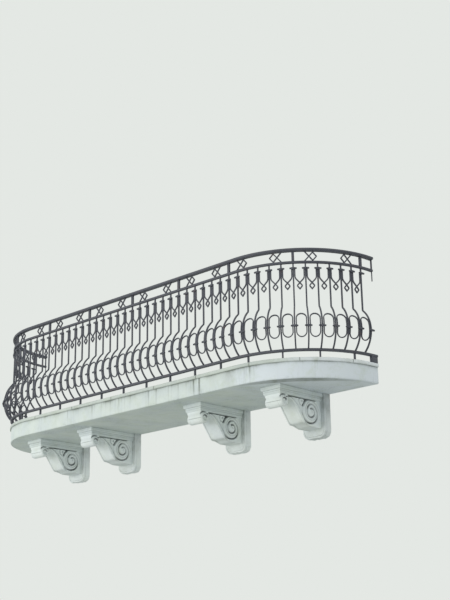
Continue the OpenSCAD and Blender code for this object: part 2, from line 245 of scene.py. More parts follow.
def slab_solid():
    """The slab's body: a plumb fascia, a worn lower edge with small chips, and a flat underside."""
    stations = np.linspace(0, EDGE_L, EDGE_POINTS)
    top, bottom = slab_high.z, slab_low.z
    # Distance inside the fascia and height of each row of points that runs along the edge
    rows = [(0, z) for z in (top, top - 3, top - 12, top - 26, 30, 0, -25, -45, -58)]
    rows += [(0.3, bottom + 9), (1.2, bottom + 5), (2.8, bottom + 2.2), (5.5, bottom + 0.6), (9, bottom),
             (UNDERSIDE, bottom)]
    rows += [(depth, bottom + 1.5) for depth in (15, 35, 60, STAIN_W - 20, STAIN_W - 6)]
    rows += [(STAIN_W, bottom), (STAIN_W + 20, bottom)]
    loops, dirt_and_shade = [], []
    damp = np.clip(1.1 - ((stations - STAIN[0]) / STAIN[1]) ** 2, 0, 1)
    for depth, z in rows:
        below = depth > UNDERSIDE
        inset = UNDERSIDE + (depth - UNDERSIDE) * np.clip(damp, 0.15, 1) if below else depth
        base = np.array([[*edge_point(s), z] for s in stations])
        uneven = wave(base, 210, 3) * 1.1
        chips = np.clip(wave(base, 26, 8) - 0.28, 0, 1) * 16 if z < bottom + 12 and depth < 12 else 0 * uneven
        out = -inset - 1.2 + uneven - chips * ((stations > 0) & (stations < EDGE_L))
        loops.append(np.array([[*edge_point(s, o), z] for s, o in zip(stations, out)]))
        fallen = top - z
        marks = np.array([streak_at(s) for s in stations])
        run = np.clip(1.25 * marks[:, 1] + 0.1 - fallen / (top - bottom), 0, 1)
        patchy = np.clip(0.8 + 1.6 * wave(np.array([[s, 0, 0] for s in stations]), 160, 31), 0.1, 1.5)
        sheltered = np.interp(stations, *SHELTERED)
        # Painted shade: a dark line just under the nosing, where its shadow falls, patchy along the edge,
        # plus the darkening that SHELTERED sets, fading further down
        shade = (0.35 + 0.4 * patchy) * math.exp(-fallen / 8) + sheltered * patchy * math.exp(-fallen / 40)
        streaks_and_shade = np.clip(marks[:, 0] * (0.2 + run) + shade, 0, 1)
        dirt_and_shade += list(damp * (0.6 if depth < STAIN_W else 0.05) if below else streaks_and_shade)
    for loop in loops:
        loop[[0, -1], 1] = 0
    return loft(loops), dirt_and_shade


solid, dirt_and_shade = slab_solid()
slab = build("slab_plastered", [solid], fascia_plaster, crease=50, grime_and_shade=dirt_and_shade)
fix(slab, "slab")


# A course of pale limestone slabs lies on it, its rounded nosing a finger's width past the plaster and
# its stones butted with thin open joints. Behind the nosing the floor is paved with square stone tiles.

LIP_REACH = -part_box("slab_lip")[0].y / MM - EDGE_R
# Places along the edge of the joints between the border stones, the border's width and the tiles' size
JOINTS = [300, 782, 1246, 1900, 2465, 3080, 3690, 4300, 4860, 5400]
BORDER = 118
TILE = 298
# Cut tiles smaller than this, in square millimetres, get no joint of their own
SCRAP = 400

# Honed limestone: close-grained and matt, with less grime than plaster because rain rinses it
nosing_stone = lime_plaster("honed limestone, worn and rained on", ("#cdd5ce", "#c3cbc8"), "#666b65",
                            "#b9c2ae", 0.15, ("#f3f8fd", 1.85, 2.2))


def nosing_solid():
    """The border stones: nosing, rounded arrises and top, notched at each joint."""
    at_joints = {joint + aside for joint in JOINTS for aside in (-5, -2, 0, 2, 5)}
    stations = sorted(set(np.linspace(0, EDGE_L, EDGE_POINTS // 2)) | at_joints)
    low = slab_high.z
    # Distance inside the nosing's face, height, and whether the joints are cut there
    rows = [(40, low, 0), (7, low, 0), (2.6, low + 0.6, 0), (0.8, low + 2.4, 1), (0, low + 6, 1),
            (0, low + 14, 1), (0, low + 22, 1), (0.7, low + 27, 1), (2.6, low + 31, 1), (6, FLOOR_Z - 0.7, 1),
            (11, FLOOR_Z, 1), (60, FLOOR_Z, 1), (BORDER - 3, FLOOR_Z, 1), (BORDER - 1, FLOOR_Z - 1, 0),
            (BORDER, FLOOR_Z - 3, 0)]
    loops, dirt_and_shade = [], []
    for inset, z, notched in rows:
        base = np.array([[*edge_point(s, LIP_REACH - inset), z] for s in stations])
        uneven = wave(base, 160, 21) * 0.8
        chips = np.clip(wave(base, 22, 5) - 0.33, 0, 1) * 9 * (inset < 8)
        notch = np.array([max(max(0.0, 1 - abs(s - j) / 4) for j in JOINTS) for s in stations]) * notched
        out = LIP_REACH - inset - 0.8 + uneven - chips - 4 * notch * (inset < 9)
        drop = 4 * notch * (inset > 9)
        loops.append(np.array([[*edge_point(s, o), z - d] for s, o, d in zip(stations, out, drop)]))
        # Dark joints, a painted shade line along the nosing's lower edge where it overhangs the fascia, and a
        # light even darkening everywhere
        dirt_and_shade += list(np.clip(notch * 1.2 + 0.3 * math.exp(-(z - low) / 4) * (inset < 60) + 0.06, 0, 1))
    for loop in loops:
        loop[[0, -1], 1] = 0
    return loft(loops), dirt_and_shade


def paving():
    """The tiles inside the border: the floor's inner outline cut into squares with sunk joints."""
    inside = LIP_REACH - BORDER - 1
    inner = [Vector((*edge_point(s, inside), FLOOR_Z - 3)) for s in np.linspace(0, EDGE_L, 120)]
    inner[0].y = inner[-1].y = 0
    work = bmesh.new()
    work.faces.new([work.verts.new(p) for p in inner])
    cuts = [((x, 0, 0), (1, 0, 0)) for x in np.arange(-8 * TILE, 8.5 * TILE, TILE)]
    cuts += [((0, y, 0), (0, 1, 0)) for y in (-TILE, -2 * TILE)]
    for point, normal in cuts:
        everything = work.verts[:] + work.edges[:] + work.faces[:]
        bmesh.ops.bisect_plane(work, geom=everything, plane_co=point, plane_no=normal)
    work.normal_update()
    for face in work.faces:
        if face.normal.z < 0:
            face.normal_flip()
    tiles = [f for f in work.faces if f.calc_area() > SCRAP]
    bmesh.ops.inset_individual(work, faces=tiles, thickness=2.2, depth=0)
    bmesh.ops.inset_individual(work, faces=tiles, thickness=1.0, depth=2.4)
    work.verts.ensure_lookup_table()
    points = np.array([v.co for v in work.verts])
    faces = [tuple(v.index for v in f.verts) for f in work.faces]
    work.free()
    return points, faces


solid, dirt_and_shade = nosing_solid()
tiles = paving()
sunk = np.where(tiles[0][:, 2] < FLOOR_Z - 2, 0.9, 0.05)
nosing = build("nosing_and_paving", [solid, tiles], nosing_stone, crease=40, grime_and_shade=list(dirt_and_shade) + list(sunk))
fix(nosing, "slab_lip")


# Four corbels carry the slab: consoles carved from blocks of soft pale stone and limewashed. Each has a
# great volute against the wall, a broad sweep up to a roll at the front, and a leaf in the angle between.

PLATE_T = -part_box("corbel_plate_1")[0].y / MM
SOFFIT_Z = slab_low.z
# The body's half width, the cap's height, and the number of points down each side of the body
HALF_W = 92
CAP_H = 77
SIDE_POINTS = 64
# Places on a corbel's side are a depth from the wall and a drop below the slab. The first three are the
# centre and radius of the volute's disc, of the hollow sweep and of the roll
VOLUTE = (213, 192, 130)
SWEEP = (620, 412, 330)
ROLL = (592, 138, 50)
# Depths at which the sweep takes over from the volute, the head begins, and the neck ends
SWEEP_START = 327.4
HEAD_D = 541
NECK_D = 644
# The belly's blunt corner: depths and drops of its front and of its floor, and how soft the corner is
BELLY_FRONT = ((200, 468, 500), (478, 119, 76))
BELLY_FLOOR = ((213, 342, 400), (322, 296, 284))
BLUNT = 6
# The volute's eye and the groove that winds out round it: angles and radii, then angles and the painted shade
# in the groove, darkest where it lies level
EYE = (215, 186)
GROOVE_LINE = ((-225, -180, -90, 0, 50, 130, 180, 240, 290, 330, 360, 390, 425),
               (27, 30, 41, 50, 60, 61, 69, 72, 84, 98, 105, 118, 131))
GROOVE_SHADE = ((-225, -190, -150, -110, -75, -50, 40, 65, 105, 122, 158, 175, 200, 290, 315, 385, 405, 425),
               (0.7, 1, 0.8, 0.35, 0.6, 1, 1, 0.45, 0.5, 1, 1, 0.6, 0.4, 0.5, 1, 1, 0.6, 0.35))
# The middle of the leaf's curl, the leaf's two rolled tips, and the channel that leaves the roll
CURL = (345, 106)
LEAF_TIPS = ((352, 163), (442, 96))
UPPER_LINE = ((440, 500, 541, 565), (74, 87, 95, 100))
# Half width that is left under the deepest cuts
CORE = 62
# Radius and distance from the middle, from the bottom of the roll's dished end over its ring
ROLL_END = [(0.1, 86), (8, 86.3), (14, 87.5), (19, 90), (24, 95), (28, 99), (32, 101), (36, 100.6),
            (40, 98.6), (44, 95), (47.4, 90), (49.4, 84), (50, 78)]

# Soft carved stone under limewash, painted paler than the moulded courses as the light that the carved body
# catches: bright on its high parts, with near-black painted shade in its hollows
carved_stone = lime_plaster("limewashed carved stone", ("#f1f7f5", "#e9f0f3"), "#383d3f", "#e2e9db", 0.05)


def underside(d):
    """How far the corbel's body hangs under the slab at depth d."""
    if d <= VOLUTE[0]:
        lowest = VOLUTE[1] + VOLUTE[2]
    elif d < SWEEP_START:
        lowest = VOLUTE[1] + math.sqrt(VOLUTE[2] ** 2 - (d - VOLUTE[0]) ** 2)
    else:
        lowest = SWEEP[1] - math.sqrt(SWEEP[2] ** 2 - (d - SWEEP[0]) ** 2)
    # The belly stands a little fuller than the volute: a straight slope down to a blunt corner
    front, floor = (math.exp(-np.interp(d, *line) / BLUNT) for line in (BELLY_FRONT, BELLY_FLOOR))
    lowest = max(lowest, -BLUNT * math.log(front + floor))
    if d > ROLL[0] - ROLL[2]:
        lowest = max(lowest, ROLL[1])
    return lowest


def groove(distance, half_width, depth):
    """Depth cut by a round-bottomed groove at each distance from its middle line."""
    return depth * np.exp(-(distance / half_width) ** 2)


def carved_side(d, z):
    """Half width of the corbel's carved side at depth d and drop z, and how dark it is painted there as shade
    in its hollows and under the cap.
    """
    disc = np.hypot(d - VOLUTE[0], z - VOLUTE[1])
    on_disc = disc < VOLUTE[2] - 3
    rho = np.hypot(d - EYE[0], z - EYE[1])
    angle = np.degrees(np.arctan2(d - EYE[0], z - EYE[1]))
    # The volute's groove winds out from above the eye with a fine groove beside it, both painted dark as
    # shade, most where they lie level and their upper walls face down
    cut, dirt_and_shade = np.zeros_like(d), np.zeros_like(d)
    for extra in (-360, 0, 360):
        wound = angle + extra
        line = np.interp(wound, *GROOVE_LINE)
        shade_share = np.interp(wound, *GROOVE_SHADE)
        carved = np.clip((wound + 228) / 15, 0, 1) * np.clip((428 - wound) / 18, 0, 1)
        main = carved * groove(rho - line, 7.5, 1)
        fine = carved * groove(rho - line - 26, 4, 1) * (rho < 108) * (wound > -150)
        cut = np.maximum(cut, np.maximum((5 + 12 * shade_share) * main, 5 * fine))
        dirt_and_shade = np.maximum(dirt_and_shade, np.maximum(shade_share * main, 0.3 * fine))
    # The eye is a small boss with a pit, and the pit is painted dark as shade
    boss = 5 * np.clip((20 - rho) / 5, 0, 1) - groove(rho, 7, 9)
    dirt_and_shade = np.maximum(dirt_and_shade, groove(rho, 6, 0.4))
    volute = HALF_W - 2 - cut + boss
    corner = HALF_W - 6 - groove(disc - 119, 5, 4)
    # The leaf: a small curl beside the volute, a lobe round it, and two rolled tips
    curl = np.hypot(d - CURL[0], z - CURL[1])
    outer = d > CURL[0] + 8
    leaf = 82 + 8 * np.exp(-((curl - 17) / 8) ** 2) - groove(curl, 8, 14)
    leaf += outer * (7 * np.exp(-((curl - 54) / 9) ** 2) - groove(curl - 38, 5, 6))
    for tip in LEAF_TIPS:
        leaf += 8 * np.exp(-(np.hypot(d - tip[0], z - tip[1]) / 9) ** 2)
    # The curl's hollow and the groove round the lobe are painted dark as shade
    leaf_shade = np.maximum(groove(curl, 7, 0.9), outer * groove(curl - 38, 5, 0.45))
    # A soft channel follows the sweep's edge, and a second one leaves the roll below the cap; both, and a
    # faint line round the disc's lower rim, are painted dark inside as shade
    rise = np.hypot(d - SWEEP[0], z - SWEEP[1]) - SWEEP[2]
    inset = 5 + 10 * np.clip((d - 350) / 110, 0, 1)
    share = np.clip((rise - inset) / 6, 0, 1)
    second = groove(z - np.interp(d, *UPPER_LINE), 4.5, 1) * (d > 450)
    rim = groove(disc - 131, 4.5, 1) * np.clip((z - 215) / 20, 0, 1)
    side = HALF_W * (1 - share) + np.minimum(leaf, HALF_W) * share - groove(rise - inset, 7, 8) - 10 * second
    side = side - 5 * rim
    side_shade = np.maximum(np.maximum(leaf_shade * share, groove(rise - inset, 7, 0.45)), 0.85 * second)
    side_shade = np.maximum(side_shade, 0.25 * rim)
    # A deep ditch parts the leaf from the volute's upper half, painted dark as shade
    ditch = groove(disc - 125, 8.5, 1) * np.clip((157 - z) / 9, 0, 1) * np.clip((d - 190) / 30, 0, 1)
    half = np.where(on_disc, volute, np.where(d < VOLUTE[0], corner, side)) - 18 * ditch
    # On the wall side of the disc, a shallow groove round its edge is painted faintly dark as shade
    dirt_and_shade = np.where(on_disc, dirt_and_shade, np.where(d < VOLUTE[0], groove(disc - 119, 5, 0.3), side_shade))
    # Round the roll the head is cut back in front, and everywhere the stone under the cap is undercut; both
    # cuts are painted dark as shade, the undercut more strongly away from the head
    round_roll = np.hypot(d - ROLL[0], z - ROLL[1])
    arc = groove(round_roll - 58, 6.5, 1) * np.clip((d - 565) / 15, 0, 1)
    half = np.where(d > HEAD_D, HALF_W - 2 - 14 * arc - 10 * second * (d < 572), half)
    dirt_and_shade = np.where(d > HEAD_D, np.maximum(0.85 * arc, second * (d < 572)), np.maximum(dirt_and_shade, ditch))
    below_cap = np.clip((87 - z) / 4, 0, 1) * np.clip((d - 150) / 12, 0, 1) * np.clip((540 - d) / 12, 0, 1)
    strong = 0.5 + 0.5 * np.clip((455 - d) / 20, 0, 1)
    return np.maximum(half - 18 * below_cap, CORE), np.maximum(dirt_and_shade, strong * below_cap)


def corbel_solids(x):
    """The carved body in columns from the plate to the neck, and the roll turned across its front."""
    depths = [*np.arange(PLATE_T - 5, HEAD_D, 3.4), HEAD_D + 0.5, HEAD_D + 1.2,
              *np.arange(HEAD_D + 4, NECK_D - 3, 4), NECK_D - 2, NECK_D]
    across = np.array([89.5, 84, 80, 77, 74, 70, 60, 45, 28, 10])
    across = np.concatenate([across, -across[::-1]])
    loops, dirt_and_shade = [], []
    for d in depths:
        low = underside(d)
        z = np.linspace(CAP_H - 2, low - 2.5, SIDE_POINTS)
        shrink = 2.5 * max(0.0, (d - NECK_D + 2) / 2) ** 2
        half, grime_and_shade = carved_side(np.full(SIDE_POINTS, d), z)
        half = half - shrink
        # The belly's lower edge is rounded over
        if 225 < d < HEAD_D:
            half = half - 6 * np.clip(1 - (low - 2.5 - z) / 14, 0, 1) ** 2
        edge = half[-1] - HALF_W
        fade = np.clip((d - 225) / 60, 0, 1) * (d < HEAD_D)
        hollow = 8 * np.clip((80 - np.abs(across)) / 4, 0, 1) - 4.5 * (1 - (across / 76) ** 2).clip(0)
        belly = low - fade * hollow
        right = np.stack([x + half, np.full(SIDE_POINTS, -d), SOFFIT_Z - z], 1)
        under = np.stack([x + across * (1 + edge / HALF_W), np.full(len(across), -d), SOFFIT_Z - belly], 1)
        left = right[::-1] * (-1, 1, 1) + (2 * x, 0, 0)
        loops.append(np.concatenate([right, under, left]))
        # Painted shade in a strip inside each rim of the belly's hollow; the whole belly is darkened a little
        # more, most towards the wall
        rim_shade = 0.3 * fade * np.exp(-((np.abs(across) - 77) / 2.5) ** 2)
        grime_and_shade = grime_and_shade * min(1, max(0.1, (NECK_D - 2 - d) / 8))
        under_darkening = rim_shade + 0.07 + 0.1 * np.clip((360 - d) / 60, 0, 1)
        dirt_and_shade += list(grime_and_shade) + list(under_darkening) + list(grime_and_shade[::-1])
    body = loft(loops)
    # Turned profile of the roll: its dished end, the raised ring round it, and the bands across the front
    profile = ROLL_END + [(49, 76.5), (50, 74), (50, 60), (49, 58), (50, 56), (50, 40), (50, 20)]
    profile = profile + [(r, -w) for r, w in profile[::-1]]
    around = np.linspace(0, 2 * math.pi, 73)[:-1]
    rings, roll_darkening = [], []
    for r, w in profile:
        d, z = ROLL[0] + r * np.sin(around), ROLL[1] + r * np.cos(around)
        cut = groove(z - np.interp(d, *UPPER_LINE), 4.5, 1) * (d < 575) * (abs(w) > 78)
        rings.append(np.stack([x + np.sign(w) * (abs(w) - 8 * cut), -d, SOFFIT_Z - z], 1))
        # Painted shade: the upper half of the roll's dish, the bands' set-in rings, the channel crossing its
        # end, and a thin line under the head's step
        shaded = 0.9 * np.clip((ROLL[1] + 4 - z) / 18, 0, 1) if r < 29 else 0.35 * (r == 49)
        head_shadow_line = 0.6 * (np.abs(z - ROLL[1] - 3) < 3) * (d > ROLL[0] + 30) * (r > 47)
        roll_darkening += list(np.maximum(np.maximum(shaded + 0 * z, 0.8 * cut), head_shadow_line).clip(0.06))
    return [body, loft(rings)], dirt_and_shade + roll_darkening


centres = [sum(corner.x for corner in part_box(f"corbel_{i}")) / 2 / MM for i in (1, 2, 3, 4)]
for number, x in enumerate(centres, 1):
    solids, dirt_and_shade = corbel_solids(x)
    corbel = build(f"corbel_{number}_carved", solids, carved_stone, crease=48, grime_and_shade=dirt_and_shade)
    fix(corbel, f"corbel_{number}")


# Each corbel is capped by a moulded course in two members and backed by a thick plate on the wall. Both
# are cut from the same stone and limewashed with it, the plate with a fine line near its edges.

CAP_HALF, CAP_FRONT = 116, 670
# Half width, reach from the wall and drop below the slab, down the two members
CAP = [(116, 670, 0), (116, 670, 4), (114.6, 668.6, 5.5), (116, 670, 7), (116, 670, 29), (114.5, 668.5, 33),
       (110.5, 664.5, 36), (107, 661, 37), (107, 661, 39), (102, 655, 40.5), (102, 655, 52), (100, 653, 54),
       (101, 654, 56), (101, 654, 66), (98.5, 651.5, 71), (96, 648.5, 74), (95, 647, 77)]

# The same stone and wash on moulded courses, a shade greyer: painted shade, because the courses sit in the
# slab's shadow
moulded_stone = lime_plaster("limewashed moulded stone", ("#e2eae8", "#dbe3e6"), "#3b4042", "#d6ded0", 0.08)


def bend(start, corner, stop, shares):
    """Points on the curve that leads from start to stop round a corner, at the given shares of its way."""
    return [(1 - t) ** 2 * start + 2 * t * (1 - t) * corner + t * t * stop for t in shares]


def along_rounded(corners, radius, spacing):
    """Closed outline through the corners, each rounded, with points about spacing apart."""
    out = []
    n = len(corners)
    for k in range(n):
        before, here, after = (np.array(corners[(k + j) % n], float) for j in (-1, 0, 1))
        back = (before - here) / np.linalg.norm(before - here)
        on = (after - here) / np.linalg.norm(after - here)
        out += bend(here + back * radius, here, here + on * radius, (0, 0.33, 0.67, 1))
        start, stop = here + on * radius, after - on * radius
        count = int(np.linalg.norm(stop - start) / spacing)
        out += [start + (stop - start) * j / count for j in range(1, count)]
    return np.array(out)


corners = [(-CAP_HALF, -CAP_FRONT), (CAP_HALF, -CAP_FRONT), (CAP_HALF, -PLATE_T), (-CAP_HALF, -PLATE_T)]
for number, x in enumerate(centres, 1):
    loops = []
    for half, depth, z in CAP:
        outline = along_rounded(corners, 2.5, 16)
        front = np.clip((-outline[:, 1] - PLATE_T) / 60, 0, 1)
        outline[:, 0] *= half / CAP_HALF
        outline[:, 1] += (CAP_FRONT - depth) * front
        loop = np.column_stack([outline[:, 0] + x, outline[:, 1], np.full(len(outline), SOFFIT_Z - z)])
        uneven = wave(loop, 70, 11 + number) * 0.9 + np.clip(wave(loop, 18, 40 + number) - 0.35, 0, 1) * 5
        loop[:, 0] -= np.sign(loop[:, 0] - x) * uneven
        loop[:, 1] += uneven * front
        loops.append(loop)
    # Painted shade in the moulding's set-in creases and where the cap meets the slab, and a light even
    # darkening elsewhere
    dirt_and_shade = np.repeat([0.5 if z in (5.5, 39, 54) or z < 2 else 0.05 for _, _, z in CAP], len(outline))
    cap = build(f"corbel_cap_{number}_moulded", [loft(loops)], moulded_stone, crease=30, grime_and_shade=dirt_and_shade)
    fix(cap, f"corbel_cap_{number}")

# The plate's face: distance inside its outline and from the wall, with the fine line on its sides and front
PLATE_FACE = [(0, 0), (0, 15), (0, 57), (1.2, 59), (0, 61), (0, PLATE_T - 4), (1.2, PLATE_T - 1),
              (4, PLATE_T), (13, PLATE_T), (14.5, PLATE_T - 2.5), (16, PLATE_T)]

for number, x in enumerate(centres, 1):
    low, high = [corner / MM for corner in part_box(f"corbel_plate_{number}")]
    half, bottom = (high.x - low.x) / 2, low.z
    corners = [(-half, SOFFIT_Z), (half, SOFFIT_Z), (half, bottom + 55), (half - 18, bottom + 18),
               (half - 46, bottom), (46 - half, bottom), (18 - half, bottom + 18), (-half, bottom + 55)]
    outline = along_rounded(corners, 4, 15)
    middle = np.array([0, (SOFFIT_Z + bottom) / 2])
    loops, dirt_and_shade = [], []
    for inset, depth in PLATE_FACE:
        size = np.abs(outline - middle).max(0)
        inner = middle + (outline - middle) * (1 - inset / size)
        loop = np.column_stack([inner[:, 0] + x, np.full(len(inner), -depth), inner[:, 1]])
        uneven = wave(loop, 80, 60 + number) * 0.9 + np.clip(wave(loop, 20, 70 + number) - 0.35, 0, 1) * 6
        ragged = np.clip(wave(loop * (1, 0.4, 1), 24, 80 + number), -0.3, 1) * 9
        loop[:, 0] -= np.sign(loop[:, 0] - x) * uneven
        low_part = np.clip((bottom + 70 - loop[:, 2]) / 40, 0, 1)
        loop[:, 2] += low_part * (uneven.clip(0) + ragged + 2.5)
        loops.append(loop)
        # Painted shade on the plate: darker towards the top under the cap, on its front face, and on the
        # fourth plate's sides; its fine line is painted dark as shade
        upper = np.clip((loop[:, 2] - bottom - 110) / 200, 0, 1)
        lined = inset == 14.5 or depth == 59
        plate_shade = 0.3 * upper + 0.22 * (inset >= 4) + 0.2 * (number == 4 and inset < 4)
        dirt_and_shade += list(0.7 + 0 * upper if lined else plate_shade)
    plate = build(f"corbel_plate_{number}_dressed", [loft(loops)], carved_stone, crease=30, grime_and_shade=dirt_and_shade)
    fix(plate, f"corbel_plate_{number}")


# The rails are forged flat bars bent to the plan: a moulded handrail, a rail under the frieze and one at
# the foot, which stands on short legs. At the wall they end in straps and feet leaded into the stone.

RAIL_R = EDGE_R - 8


def station_frame(s):
    """Origin on the bars' middle line at distance s, and the directions right and outward."""
    angle = turn(s)
    outward = np.array([math.sin(angle), -math.cos(angle), 0])
    right = np.array([math.cos(angle), math.sin(angle), 0])
    return np.array([*edge_point(s, RAIL_R - EDGE_R), 0]), right, outward


def set_in(local, origin, right, outward):
    """Points given as right, outward and up, moved to an origin with those directions."""
    local = np.asarray(local, float)
    return origin + local[:, :1] * right + local[:, 1:2] * outward + local[:, 2:] * (0, 0, 1)


def sweep(path, outward, section, closed=False):
    """A bar along path. The section's points are measured across the bar and outwards."""
    path = np.asarray(path, float)
    section = np.asarray(section, float)
    ahead = np.roll(path, -1, 0) - path
    if not closed:
        ahead[-1] = ahead[-2]
    ahead /= np.linalg.norm(ahead, axis=1, keepdims=True)
    behind = np.roll(ahead, 1, 0)
    if not closed:
        behind[0] = ahead[0]
    along = ahead + behind
    along /= np.linalg.norm(along, axis=1, keepdims=True)
    across = np.cross(along, np.broadcast_to(outward, path.shape))
    across /= np.linalg.norm(across, axis=1, keepdims=True)
    out = np.cross(across, along)
    loops = path[:, None] + section[None, :, :1] * across[:, None] + section[None, :, 1:] * out[:, None]
    points, faces = loft(list(loops))
    if closed:
        n = len(section)
        last = (len(path) - 1) * n
        faces = faces[:-2] + [(last + i, last + (i + 1) % n, (i + 1) % n, i) for i in range(n)]
    return points, faces


def bar_section(width, depth, radius=1.6):
    """Section of a flat or square bar with its edges rounded by the hammer."""
    w, d, r = width / 2, depth / 2, radius
    knee = 0.3 * r
    corner = [(w - r, d), (w - knee, d - knee), (w, d - r)]
    turned = corner + [(a, -b) for a, b in corner[::-1]]
    return turned + [(-a, b) for a, b in turned[::-1]]


# Each rail is in three stretches, whose ends are places along the edge
STRETCHES = {"right": (0, ARC_L), "front": (ARC_L, EDGE_L - ARC_L), "left": (EDGE_L - ARC_L, EDGE_L)}


def rail_path(side, height):
    """Middle line of one stretch of rail at a height, and the outward direction at its points."""
    ends = STRETCHES[side]
    count = 120 if side == "front" else 72
    path = np.array([[*edge_point(s, RAIL_R - EDGE_R), height] for s in np.linspace(*ends, count)])
    outward = np.array([station_frame(s)[2] for s in np.linspace(*ends, count)])
    return path, outward


def painted_iron(name, base, dust_share):
    """Forged iron under old charcoal paint: satin, thinly dusty on top, with a few specks of rust."""
    made, shader, place = new_finish(name)
    up = node(made, "SeparateXYZ", {0: node(made, "NewGeometry").outputs["Normal"]}).outputs[2]
    # Worn and faded areas about 60 mm across
    faded = node(made, "TexNoise", {"Vector": place, "Scale": 16.0, "Detail": 5.0, "Roughness": 0.65})
    # Rust specks 4 to 8 mm across
    specks = node(made, "TexNoise", {"Vector": place, "Scale": 130.0, "Detail": 3.0, "Roughness": 0.55})
    # Hammer marks about 14 mm apart
    marks = node(made, "TexVoronoi", {"Vector": place, "Scale": 70.0}, feature="SMOOTH_F1")
    tone = node(made, "MapRange", {"Value": faded.outputs["Fac"], "From Min": 0.35, "From Max": 0.7})
    paint = node(made, "Mix", {SHARE: tone.outputs[0], UNDER: linear(base[0]), OVER: linear(base[1])},
                 data_type="RGBA")
    lying = node(made, "MapRange", {"Value": up, "From Min": 0.2, "From Max": 0.95, "To Max": dust_share})
    dusty = node(made, "Mix", {SHARE: lying.outputs[0], UNDER: paint.outputs[RESULT],
                               OVER: linear("#8b8c8e")}, data_type="RGBA")
    spots = node(made, "Math", {0: specks.outputs["Fac"], 1: faded.outputs["Fac"]}, operation="MULTIPLY")
    rusty = node(made, "MapRange", {"Value": spots.outputs[0], "From Min": 0.34, "From Max": 0.42,
                                    "To Max": 0.8})
    finished = node(made, "Mix", {SHARE: rusty.outputs[0], UNDER: dusty.outputs[RESULT],
                                  OVER: linear("#6b4636")}, data_type="RGBA")
    rough = node(made, "MapRange", {"Value": faded.outputs["Fac"], "From Min": 0.3, "From Max": 0.7,
                                    "To Min": 0.42, "To Max": 0.68})
    hammered = node(made, "Bump", {"Strength": 0.25, "Distance": 0.0015, "Height": marks.outputs["Distance"]})
    bump = node(made, "Bump", {"Strength": 0.3, "Distance": 0.0006, "Height": specks.outputs["Fac"],
                               "Normal": hammered.outputs[0]})
    fill(shader, {"Base Color": finished.outputs[RESULT], "Roughness": rough.outputs[0],
                  "Normal": bump.outputs[0]})
    return made


# Oil paint laid on thick with a brush, handled and dusty: the lightest grey of the ironwork
rail_paint = painted_iron("old charcoal paint on rails", ("#484a53", "#565862"), 0.3)

HAND_BOTTOM = (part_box("handrail_front")[0] / MM).z
# Half of the handrail's section, from the middle of its crown to its lower edge
half_moulding = [(0, 30), (9, 29.6), (15, 28.4), (20, 26), (23.4, 22.6), (25, 18.5), (25, 9.5), (23.6, 6.6),
                 (21.6, 5.6), (21, 4.8), (21, 1), (20, 0)]
moulding = [(-a, b) for a, b in half_moulding] + half_moulding[:0:-1]
for side in STRETCHES:
    path, _ = rail_path(side, HAND_BOTTOM)
    up = np.array([(0, 0, 1.0)] * len(path))
    handrail = build(f"handrail_{side}_moulded", [sweep(path, up, moulding)], rail_paint, crease=35)
    fix(handrail, f"handrail_{side}")

# Height that scale and many coats of paint add to the rails' bars
SCALE_COAT = 2.6
for name in ("upper_rail", "bottom_rail"):
    low, high = [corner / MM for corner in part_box(name + "_front")]
    for side in STRETCHES:
        path, outward = rail_path(side, (low.z + high.z) / 2)
        section = bar_section(high.z - low.z + SCALE_COAT, high.y - low.y, 2.2)
        rail = build(f"{name}_{side}_forged", [sweep(path, outward, section)], rail_paint, crease=40)
        fix(rail, f"{name}_{side}")


def block(low, high, radius=2.0):
    """Local points and faces of a forged block between two corners, all edges rounded."""
    (x0, y0, z0), (x1, y1, z1) = low, high
    section = np.array(bar_section(x1 - x0, y1 - y0, radius)) + ((x0 + x1) / 2, (y0 + y1) / 2)
    middle = section.mean(0)
    loops = []
    for inset, z in ((radius, z0), (0.3 * radius, z0 + 0.3 * radius), (0, z0 + radius), (0, z1 - radius),
                     (0.3 * radius, z1 - 0.3 * radius), (radius, z1)):
        size = np.abs(section - middle).max(0)
        inner = middle + (section - middle) * (1 - inset / size)
        loops.append(np.column_stack([inner, np.full(len(section), z)]))
    return loft(loops)


def placed(solid, s):
    """A solid in local points, set at distance s along the railing."""
    return set_in(solid[0], *station_frame(s)), solid[1]


# The bars are numbered from 0 at the right-hand wall end to LAST, and stand PITCH apart along the edge. A
# post stands over every sixth, and a leg a little to the left of every third
LAST = 50
BAY = 6
FIRST_S = 153
PITCH = 110.0
LEG_ASIDE = 8
UPPER_LOW, UPPER_TOP = [corner.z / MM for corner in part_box("upper_rail_front")]
BOTTOM_LOW, BOTTOM_TOP = [corner.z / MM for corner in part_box("bottom_rail_front")]
stations = [FIRST_S + i * PITCH for i in range(LAST + 1)]

for name in ("right", "left"):
    low, high = [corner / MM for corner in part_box(f"wall_strap_{name}")]
    middle = (low.x + high.x) / 2
    # Width and depth of the strap through the frieze and of the narrow one below it, and what each spans
    straps = []
    for (w, d), (z0, z1) in (((16, 9), (UPPER_TOP, HAND_BOTTOM)), ((10, 6), (low.z, UPPER_LOW))):
        straps.append(block((middle - w / 2, -d, z0), (middle + w / 2, 0, z1), 1.5))
    strap = build(f"wall_strap_{name}_forged", straps, rail_paint)
    fix(strap, f"wall_strap_{name}")

legs = [placed(block((-6.5, -10, FLOOR_Z), (6.5, 10, BOTTOM_LOW)), stations[i] + LEG_ASIDE)
        for i in range(1, LAST, 3)]
# A longer block carries each end of the bottom rail at the wall
for side in (-1, 1):
    middle = side * (HALF_L + RAIL_R)
    legs.append(block((middle - 14, -84, FLOOR_Z), (middle + 14, 0, BOTTOM_LOW), 3))
feet = build("rail_feet_forged", legs, rail_paint)
fix(feet, "rail_feet")

